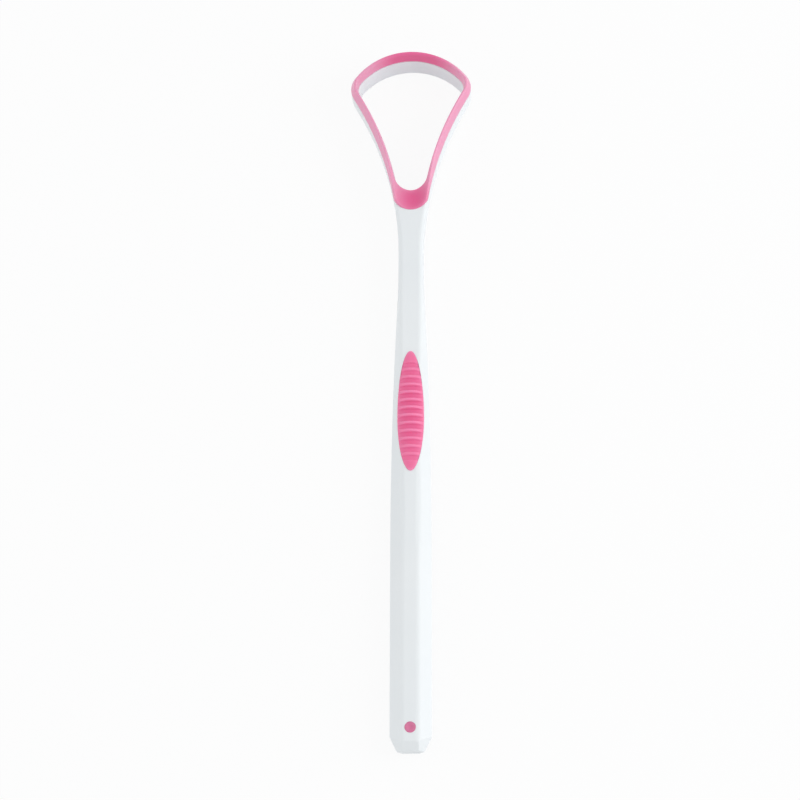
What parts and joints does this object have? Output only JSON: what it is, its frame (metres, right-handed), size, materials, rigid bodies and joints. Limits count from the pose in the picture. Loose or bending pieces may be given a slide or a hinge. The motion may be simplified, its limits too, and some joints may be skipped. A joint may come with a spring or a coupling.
{
  "type": "tongue scraper",
  "caption": "Slim faceted hand tool with a fan-shaped open loop that carries a soft ridge blade, a soft ribbed thumb grip and a soft plug at the butt.",
  "frame": {"origin": "middle of the object's box, on the plane of its flat back", "axes": "+Y along the handle from the butt to the loop, +Z from the flat back to the front with the grip and blade, X across"},
  "size_m": [0.0294, 0.175, 0.0082],
  "materials": {
    "white_polypropylene": "satin injection-moulded polypropylene, white",
    "pink_elastomer": "matte soft-touch thermoplastic elastomer, pink"
  },
  "bodies": {
    "root": {"handle_frame": "white_polypropylene", "scraper_lip": "pink_elastomer", "thumb_grip": "pink_elastomer", "butt_plug": "pink_elastomer"}
  },
  "joints": []
}
